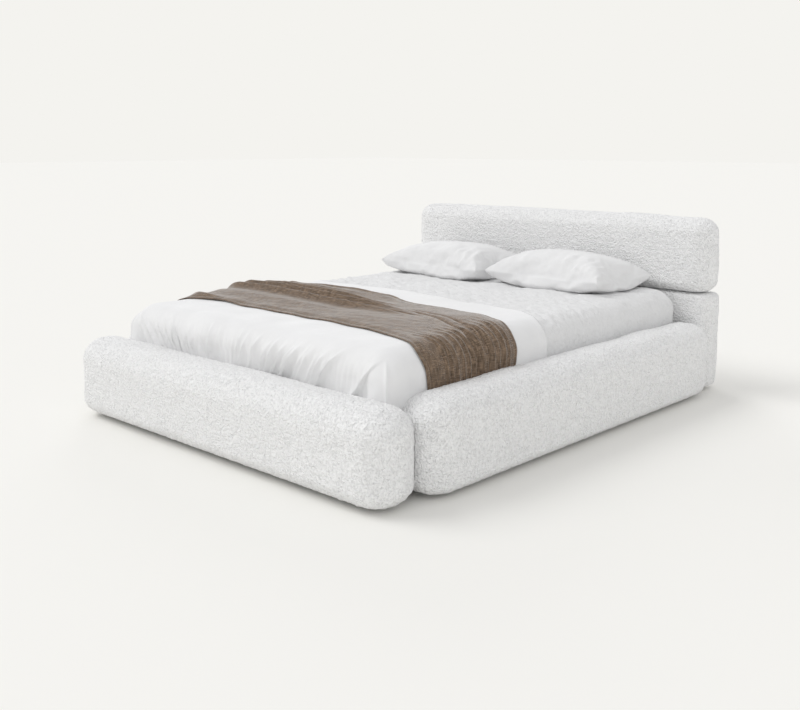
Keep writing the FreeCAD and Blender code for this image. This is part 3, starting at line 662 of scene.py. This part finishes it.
def front_gathers(points, normals):
    """The duvet's foot end: many uneven folds that begin at the top edge and lean to the middle below."""
    rng = np.random.default_rng(21)
    begin_y = BED_FRONT + EDGE_ROUND[0] + 0.03
    depth = np.where(points[:, 1] < begin_y, begin_y - points[:, 1] + BED_TOP - points[:, 2], 0)
    grow = smooth_step(depth, GATHER_START, GATHER_SPAN)
    facing = np.clip(-normals[:, 1] + 0.5 * np.abs(normals[:, 2]), 0, 1)
    facing *= smooth_step(BED_HALF - 0.075 - points[:, 0], 0.0, 0.03)
    total = np.zeros(len(points))
    at = -BED_HALF + 0.02
    while at < BED_HALF - 0.16:
        width = rng.uniform(*GATHER_HALF)
        height = rng.uniform(0.25, 1.0)
        pull = -0.22 * at + rng.uniform(-0.025, 0.025)
        begin = rng.uniform(0.0, 0.13)
        line = at + pull * (depth / GATHER_SPAN) ** 1.5
        strength = smooth_step(depth, begin, begin + 0.17)
        spread = width * (0.9 + 2.0 * (1 - grow))
        total += height * strength * pleat(points[:, 0] - line, spread, rng.uniform(0.1, 0.7), 1.3)
        at += rng.uniform(*GATHER_PITCH)
    fine = ripple(points * np.array([1, 0.2, 0.25]), 0.024, 22)
    return facing * grow * (GATHER_HEIGHT * (total - 0.5) + GATHER_FINE * fine)


TUCK_RIDGE, TUCK_RIDGE_HALF = 0.010, 0.0065
TUCK_BULGE, TUCK_BULGE_HALF = 0.026, 0.05
TUCK_FLAP, TUCK_FLAP_HALF = 0.008, 0.022
TUCK_HOLLOW = -0.007


def corner_tuck(points):
    """The folded corners at the foot: a thin ridge on a bulge, and beside it a hollow under a flap."""
    down = BED_TOP - points[:, 2]
    growing = smooth_step(down, 0.02, 0.10)
    centre = np.array([BED_HALF - CORNER_ROUND, BED_FRONT + CORNER_ROUND])
    beyond = np.stack([np.abs(points[:, 0]) - centre[0], centre[1] - points[:, 1]], 1)
    outside = np.linalg.norm(np.clip(beyond, 0, None), axis=1)
    at_edge = smooth_step(outside, 0.06, 0.10)
    on_corner = beyond.min(axis=1) > 0
    ridge_place = (beyond[:, 0] - beyond[:, 1]) / math.sqrt(2)
    ridge = TUCK_RIDGE * fold(ridge_place - 0.004, TUCK_RIDGE_HALF, 2) * at_edge * on_corner
    bulge = TUCK_BULGE * fold(ridge_place, TUCK_BULGE_HALF, 2) * smooth_step(outside, 0.02, 0.10) * on_corner
    flap_line = BED_HALF - 0.056 - 0.80 * (down - 0.03)
    offset = np.abs(points[:, 0]) - flap_line
    on_front = smooth_step(beyond[:, 1], 0.04, 0.09)
    past = smooth_step(offset, -0.002, 0.006)
    flap = TUCK_FLAP * fold(np.clip(-offset, 0, None), TUCK_FLAP_HALF, 1.6) * (1 - past)
    hollow = TUCK_HOLLOW * past * smooth_step(0.10 - offset, 0, 0.05)
    return growing * (ridge + bulge + on_front * (flap + hollow))


# The duvet's end towards the head: (distance across, distance along)
TURN_LINE = [(-1.0, 0.05), (-0.50, 0.05), (-0.15, 0.04), (0.15, 0.027), (0.47, 0.032), (0.60, 0.003),
             (0.72, -0.069), (0.81, -0.099), (1.0, -0.098)]


def edge_line(line, position, reach, wobble, seed):
    """A softened line of (distance across, distance along) points, with a slight wobble."""
    at, edge = zip(*line)
    near = [np.interp(position + shift, at, edge) for shift in np.linspace(-reach, reach, 7)]
    return np.mean(near, axis=0) + wobble * ripple(along_only(position), 0.21, seed)


def turned_edge(position):
    """Where the duvet ends towards the head, for a distance across the bed."""
    return edge_line(TURN_LINE, position, 0.05, 0.002, 23)


DUVET_LIP = 0.0065
DUVET_BODY = 0.016
DUVET_ROLL, DUVET_ROLL_HALF = 0.0040, 0.010
CORNER_DROP = 0.060
DUVET_STEP = 0.0045
DUVET_FOOT_STEP, DUVET_TOP_STEP = 0.006, 0.0125
DUVET_DROP_STEP = 0.0062


def make_duvet(material):
    """The duvet: gathered at the foot, with a slight roll along its turned edge."""
    warp_from, fine_to, back = BED_FRONT + 0.45, BED_FRONT + 0.24, 0.0
    foot = evenly(BED_FRONT, fine_to, DUVET_FOOT_STEP)
    along = np.concatenate([foot[:-1], evenly(fine_to, back, DUVET_TOP_STEP)])
    lines = [evenly(-BED_HALF, BED_HALF, DUVET_STEP), along, evenly(BED_HEM, BED_TOP, DUVET_DROP_STEP)]
    points, quads = box_skin(lines, ("x-", "x+", "y-", "z+"))
    low, high = (-BED_HALF, BED_FRONT, BED_HEM), (BED_HALF, OPEN_END, BED_TOP)
    points = soft_box(points, low, high, CORNER_ROUND, EDGE_ROUND, None)
    normals = face_normals(points, quads)
    position = across(points, BED_TOP)
    share = np.clip((points[:, 1] - warp_from) / (back - warp_from), 0, 1)
    edge = turned_edge(position)
    points[:, 1] = np.where(share > 0, warp_from + share * (edge - warp_from), points[:, 1])
    uv = np.stack([position, points[:, 1]], 1)
    reach = np.stack([np.abs(points[:, 0]) - BED_HALF, BED_FRONT - points[:, 1]], 1) + CORNER_ROUND
    corner = smooth_step(reach.min(axis=1), -0.02, 0.04)
    points[:, 2] -= CORNER_DROP * corner * smooth_step(BED_TOP - points[:, 2], 0.08, BED_TOP - BED_HEM)
    height = lie_of_bed(points) + side_folds(points, DUVET_SIDE_SEED)
    height += front_gathers(points, normals) + corner_tuck(points)
    to_edge = edge - points[:, 1]
    height += DUVET_ROLL * fold(to_edge - 0.006, DUVET_ROLL_HALF, 2) * (share > 0)
    points = points + normals * height[:, None]
    body = smooth_step(to_edge, 0.0, 0.12) * smooth_step(points[:, 2] - BED_HEM, -0.002, 0.03)
    thickness = DUVET_LIP + (DUVET_BODY - DUVET_LIP) * body
    points, quads = thicken(points, quads, thickness)
    uv = np.concatenate([uv, uv])
    duvet = make_piece("duvet_quilt", points, quads, material, "mattress", uv)
    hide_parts("duvet")


COVERLET_DROP = 0.0095
COVERLET_THICK = 0.003
COVERLET_STEP, COVERLET_HIDDEN_STEP, COVERLET_SHOWN_STEP = 0.0085, 0.02, 0.0078
UNDER_DUVET = 0.016
GROOVE, GROOVE_HALF = 0.0070, 0.008
CRINKLE, CRINKLE_LENGTH = 0.0028, 0.032
DRAG, DRAG_LENGTH, DRAG_TURN = 0.0032, 0.085, -35


def make_coverlet(material):
    """The sheet over the mattress, seen between the duvet and the headboard."""
    half, top = BED_HALF - COVERLET_DROP, BED_TOP - COVERLET_DROP
    front, shown_from = BED_FRONT + 0.10, -0.16
    hidden = evenly(front, shown_from, COVERLET_HIDDEN_STEP)
    along = np.concatenate([hidden[:-1], evenly(shown_from, BED_HEAD, COVERLET_SHOWN_STEP)])
    lines = [evenly(-half, half, COVERLET_STEP), along, evenly(BED_HEM + 0.004, top, COVERLET_STEP)]
    points, quads = box_skin(lines, ("x-", "x+", "y-", "y+", "z+"))
    scale = np.array([1, SHEET_SQUASH, 1])
    low, high = np.array((-half, front, BED_HEM)), np.array((half, BED_HEAD, top))
    points = soft_box(points * scale, low * scale, high * scale, SHEET_ROUND[0], SHEET_ROUND, None) / scale
    normals = face_normals(points, quads)
    position = across(points, top)
    uv = np.stack([position, points[:, 1]], 1)
    beyond = points[:, 1] - turned_edge(position)
    shown = smooth_step(beyond, -0.02, 0.03)
    height = lie_of_bed(points) + shown * side_folds(points, SHEET_SIDE_SEED)
    height -= UNDER_DUVET * smooth_step(-beyond, 0.01, 0.12)
    height -= GROOVE * fold(beyond - 0.002, GROOVE_HALF, 2)
    flat = smooth_step(points[:, 2], top - 0.05, top - 0.01)
    near_fold = fold(np.clip(beyond, 0, None), 0.40, 2)
    crinkle = ripple(points, CRINKLE_LENGTH, 41, waves=24, stretch=(1.6, 0.8, 1)) * (0.3 + 0.7 * near_fold)
    height += CRINKLE * shown * crinkle * (0.3 + 0.7 * flat)
    drag = ripple(points @ turn_matrix(DRAG_TURN), DRAG_LENGTH, 42, waves=10, stretch=(4, 1, 1))
    height += DRAG * shown * drag * smooth_step(points[:, 1], 0.15, 0.55) * (0.4 + 0.6 * flat)
    points = points + normals * height[:, None]
    points, quads = thicken(points, quads, np.full(len(points), COVERLET_THICK))
    uv = np.concatenate([uv, uv])
    sheet = make_piece("coverlet_sheet", points, quads, material, "mattress", uv)
    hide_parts("coverlet")


THROW_LIFT = 0.0050
THROW_THICK = 0.003
THROW_RISE = 0.007
THROW_STEP, THROW_DROP_STEP, THROW_ROWS = 0.0075, 0.0065, 230
THROW_HEM, THROW_HEM_HALF = 0.002, 0.006
THROW_FINE, THROW_FINE_LENGTH = 0.0003, 0.045
THROW_SINK = 0.0015  # how far a crease may go below the duvet's own rise and fall
# Its two long edges: (distance across, distance along)
THROW_FRONT = [(-1.0, -0.83), (-0.78, -0.81), (-0.63, -0.735), (-0.45, -0.735), (0.0, -0.745), (0.44, -0.755),
               (0.65, -0.80), (0.77, -0.85), (0.87, -0.853), (1.0, -0.83)]
THROW_BACK = [(-1.0, -0.16), (-0.70, -0.13), (-0.45, -0.109), (-0.21, -0.112), (0.02, -0.133),
              (0.12, -0.172), (0.50, -0.18), (0.60, -0.22), (0.71, -0.29), (0.81, -0.318), (1.0, -0.323)]
# Long folds: (centre along the bed, seed of its meander, half-width, height before LONG_FOLD_GAIN,
# where it ends across)
LONG_FOLDS = ((-0.70, 51, 0.026, 0.010, -0.45), (-0.58, 52, 0.060, 0.007, 0.1),
              (-0.475, 53, 0.024, 0.022, 0.30), (-0.437, 54, 0.008, -0.026, 0.33),
              (-0.395, 55, 0.024, 0.024, 0.25), (-0.335, 56, 0.008, -0.022, 0.05),
              (-0.295, 57, 0.022, 0.018, 0.1), (-0.20, 62, 0.030, 0.009, -0.2),
              (-0.145, 63, 0.014, 0.008, 0.0))
LONG_FOLD_GAIN = 1.35
DROP_FOLDS = 13
DROP_FOLD_START = -0.73
DROP_FOLD_PITCH = 0.030
# Deep creases: (place along the bed on the top, place along the bed on the drop, depth)
CREASES = ((-0.385, -0.555, 0.019), (-0.355, -0.490, 0.013))
CREASE_HALF = 0.0085


def throw_folds(position, along):
    """Long folds along the throw on the left and middle, narrow upright ones on its right drop."""
    total = np.zeros(len(position))
    for centre, seed, width, height, end in LONG_FOLDS:
        line = centre + 0.006 * ripple(along_only(position), 0.8, seed)
        fade = 1 - smooth_step(position, end - 0.30, end + 0.15)
        total += LONG_FOLD_GAIN * fade * height * fold(along - line, width, 1.5)
    drop = smooth_step(position, 0.58, 0.84)
    rng = np.random.default_rng(58)
    bend = 0.13 * (1 - smooth_step(position, 0.30, 0.80))
    for number in range(DROP_FOLDS):
        line = DROP_FOLD_START + DROP_FOLD_PITCH * number + rng.uniform(-0.006, 0.006)
        line = line + bend * (0.2 + 0.08 * number)
        height = rng.uniform(0.003, 0.010)
        total += drop * height * fold(along - line, rng.uniform(0.005, 0.009), 1.6)
    for start, end, deep in CREASES:
        crease = end + (start - end) * (1 - smooth_step(position, 0.32, 0.84))
        depth = deep * smooth_step(position, 0.15, 0.50) * (0.35 + 0.65 * drop)
        total -= depth * fold(along - crease, CREASE_HALF, 1.5)
    return total


def make_throw(material):
    """The linen throw across the bed, lying on the duvet and following its side folds."""
    half, top = BED_HALF + THROW_LIFT, BED_TOP + THROW_LIFT
    lines = [evenly(-half, half, THROW_STEP), evenly(0, 1, 1 / THROW_ROWS),
             evenly(BED_HEM + 0.001, top, THROW_DROP_STEP)]
    points, quads = box_skin(lines, ("x-", "x+", "z+"))
    share = points[:, 1].copy()
    low, high = (-half, -OPEN_END, BED_HEM), (half, 1 + OPEN_END, top)
    points = soft_box(points, low, high, CORNER_ROUND, EDGE_ROUND, None)
    normals = face_normals(points, quads)
    position = across(points, top)
    front = edge_line(THROW_FRONT, position, 0.08, 0.002, 59)
    back = edge_line(THROW_BACK, position, 0.08, 0.004, 60)
    points[:, 1] = front + share * (back - front)
    uv = np.stack([position, points[:, 1]], 1)
    base = lie_of_bed(points) + side_folds(points, DUVET_SIDE_SEED)
    hem = np.minimum(points[:, 1] - front, back - points[:, 1])
    rise = THROW_RISE * smooth_step(hem, 0.0, 0.05) + throw_folds(position, points[:, 1])
    height = base + rise + THROW_FINE * ripple(points, THROW_FINE_LENGTH, 61)
    height += THROW_HEM * fold(hem - 0.008, THROW_HEM_HALF, 3)
    height = np.maximum(height, base - THROW_SINK)
    points = points + normals * height[:, None]
    points, quads = thicken(points, quads, np.full(len(points), THROW_THICK))
    uv = np.concatenate([uv, uv])
    throw = make_piece("throw_blanket", points, quads, material, "mattress", uv)
    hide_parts("throw")


# ---- pillows ----
PILLOW_WIDE = 0.745
PILLOW_DEEP = 0.505
PILLOW_STEP = 0.010
PILLOW_FRAMES = 22
PILLOW_GROUND = -0.05
PILLOW_SKIN = 0.004
PILLOW_LIFT = 0.002
BOLSTER_GAP = 0.004
PILLOW_PUCKER, PUCKER_LENGTH = 0.0062, 0.04
# The case's cloth: its mass is for each point, and the pressure holds the filling's volume
PILLOW_CLOTH = {
    "quality": 6, "mass": 0.02, "air_damping": 5,
    "tension_stiffness": 35, "compression_stiffness": 12, "shear_stiffness": 8, "bending_stiffness": 0.4,
    "tension_damping": 25, "compression_damping": 25, "shear_damping": 25, "bending_damping": 2,
    "use_pressure": True, "use_pressure_volume": True, "target_volume": 0.0365, "pressure_factor": 10,
    "uniform_pressure_force": 0,
}
# Each pillow: (middle, turn in degrees, seed)
PILLOWS = {"left": ((-0.412, 0.775), -2, 61), "right": ((0.305, 0.795), -3, 62)}
BOLSTER_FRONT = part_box("headboard_bolster_cover")[0].y


def sewn_sheets(seed):
    """Two rectangles of cloth joined round the rim, a little apart in the middle."""
    lines = [evenly(-PILLOW_WIDE / 2, PILLOW_WIDE / 2, PILLOW_STEP),
             evenly(-PILLOW_DEEP / 2, PILLOW_DEEP / 2, PILLOW_STEP), np.array([-1.0, 1.0])]
    points, quads = box_skin(lines, ("z-", "z+"))
    u, v = points[:, 0] / (PILLOW_WIDE / 2), points[:, 1] / (PILLOW_DEEP / 2)
    rise = (1 - u ** 4) * (1 - v ** 4)
    sign = np.where(points[:, 2] > 0, 1.0, -1.0)
    points[:, 2] = sign * (0.012 * rise + 0.004 * rise * ripple(points, 0.13, seed))
    rim = (np.abs(u) > 0.9999) | (np.abs(v) > 0.9999)
    points[rim, 2] = 0
    return weld(points, quads)


def inflate(piece):
    """The sewn sheets' points after a cloth simulation that fills them above a flat surface."""
    scene = bpy.context.scene
    bpy.ops.mesh.primitive_plane_add(size=3, location=(0, 0, PILLOW_GROUND))
    ground = bpy.context.object
    ground.modifiers.new("collision", "COLLISION")
    ground.collision.thickness_outer = PILLOW_SKIN
    cloth = piece.modifiers.new("cloth", "CLOTH")
    for setting, value in PILLOW_CLOTH.items():
        setattr(cloth.settings, setting, value)
    cloth.settings.effector_weights.gravity = 0.01
    cloth.collision_settings.use_self_collision = False
    cloth.collision_settings.distance_min = PILLOW_SKIN
    cloth.point_cache.frame_start = 1
    cloth.point_cache.frame_end = PILLOW_FRAMES
    for number in range(1, PILLOW_FRAMES + 1):
        scene.frame_set(number)
    settled = piece.evaluated_get(bpy.context.evaluated_depsgraph_get())
    places = np.empty(len(settled.data.vertices) * 3)
    settled.data.vertices.foreach_get("co", places)
    piece.modifiers.remove(cloth)
    bpy.data.objects.remove(ground)
    scene.frame_set(1)
    return places.reshape(-1, 3)


def seam_puckers(points, seed):
    """Small upright puckers above the front seam, mostly towards its right-hand corner."""
    u, v = points[:, 0] / (PILLOW_WIDE / 2), points[:, 1] / (PILLOW_DEEP / 2)
    near_seam = smooth_step(-v, 0.05, 0.55) * (1 - smooth_step(-v, 0.86, 0.99))
    rightward = 0.25 + 0.75 * smooth_step(u, -0.3, 0.5)
    ridges = ripple(points * np.array([1, 0.3, 0]), PUCKER_LENGTH, seed + 2, waves=12)
    upper = points[:, 2] > 0
    return PILLOW_PUCKER * upper * near_seam * rightward * (1 - smooth_step(np.abs(u), 0.86, 0.98)) * ridges


def split_points(mesh):
    """Divides the faces at the pillow's four points, where the two sheets' quads share three corners."""
    shape = bmesh.new()
    shape.from_mesh(mesh)
    for point in [vertex for vertex in shape.verts if len(vertex.link_edges) == 2]:
        for face in list(point.link_faces):
            corners = list(face.verts)
            opposite = corners[(corners.index(point) + 2) % 4]
            bmesh.utils.face_split(face, point, opposite)
    shape.to_mesh(mesh)
    shape.free()


def apply_modifiers(piece):
    graph = bpy.context.evaluated_depsgraph_get()
    finished = bpy.data.meshes.new_from_object(piece.evaluated_get(graph))
    piece.modifiers.clear()
    piece.data = finished
    finished.shade_smooth()


def make_pillow(side, middle, turn, seed, material):
    """A pillow in its case, filled, turned and laid on the sheet clear of the bolster."""
    underside = box_of(f"pillow_{side}_case")[0][2]
    points, quads = sewn_sheets(seed)
    pillow = mesh_object(f"pillow_{side}", points, quads, material)
    shaped = inflate(pillow)
    shaped[:, 2] += seam_puckers(points, seed)
    shaped = shaped @ turn_matrix(turn)
    shaped[:, :2] += middle - (shaped[:, :2].min(0) + shaped[:, :2].max(0)) / 2
    shaped[:, 1] = np.minimum(shaped[:, 1], BOLSTER_FRONT - BOLSTER_GAP)
    shaped[:, 2] += underside - shaped[:, 2].min() + PILLOW_LIFT
    pillow.data.vertices.foreach_set("co", shaped.reshape(-1))
    pillow.data.update()
    ease = pillow.modifiers.new("ease", "SMOOTH")
    ease.factor, ease.iterations = 0.5, 3
    finer = pillow.modifiers.new("finer", "SUBSURF")
    finer.levels = finer.render_levels = 1
    apply_modifiers(pillow)
    split_points(pillow.data)
    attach(pillow, f"pillow_{side}")
    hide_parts(f"pillow_{side}_case", f"pillow_{side}_filling")


# ---- the CAD parts that stay as they are ----
def dress(material, *starts):
    """Gives a material to every CAD node whose name starts so."""
    for name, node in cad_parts.items():
        if name.startswith(starts) and not node.hide_render:
            for slot in node.material_slots:
                slot.material = material


def dress_cad_parts():
    pine, birch = (0.60, 0.44, 0.27), (0.70, 0.55, 0.36)
    dress(timber_material("frame_timber_across", pine, "x"), "footboard_frame", "headboard_base_frame",
          "headboard_bolster_frame")
    dress(timber_material("frame_timber_along", pine, "y"), "rail_left_frame", "rail_right_frame")
    dress(timber_material("slat_timber_across", birch, "x"), "slat_")
    dress(timber_material("slat_timber_along", birch, "y"), "ledger_left", "ledger_right")
    dress(steel_material(), "centre_beam", "beam_hanger", "corner_bracket", "centre_leg", "headboard_upright")
    dress(zinc_material(), "bracket_bolts", "ledger_screws", "hanger_screws")
    dress(plastic_material(), "levelling_foot", "floor_glides")
    dress(webbing_material(), "slat_straps")


# ---- everything together ----
bpy.context.scene.view_settings.view_transform = "Standard"
make_camera()
make_world()
make_sun("soft_key", KEY_FROM, KEY_STRENGTH, KEY_SPREAD)
make_sun("soft_rim", RIM_FROM, RIM_STRENGTH, RIM_SPREAD)
make_sun("soft_fill", FILL_FROM, FILL_STRENGTH, FILL_SPREAD)
make_floor(floor_material())
make_blocks(boucle_material())
make_mattress(ticking_material())
make_coverlet(crinkle_material("coverlet_cotton", (0.79, 0.79, 0.79)))
make_duvet(cotton_material("duvet_cotton", (0.825, 0.825, 0.825)))
make_throw(linen_material())
pillow_cotton = cotton_material("pillow_cotton", (0.80, 0.80, 0.80))
for side, (middle, turn, seed) in PILLOWS.items():
    make_pillow(side, middle, turn, seed, pillow_cotton)
dress_cad_parts()
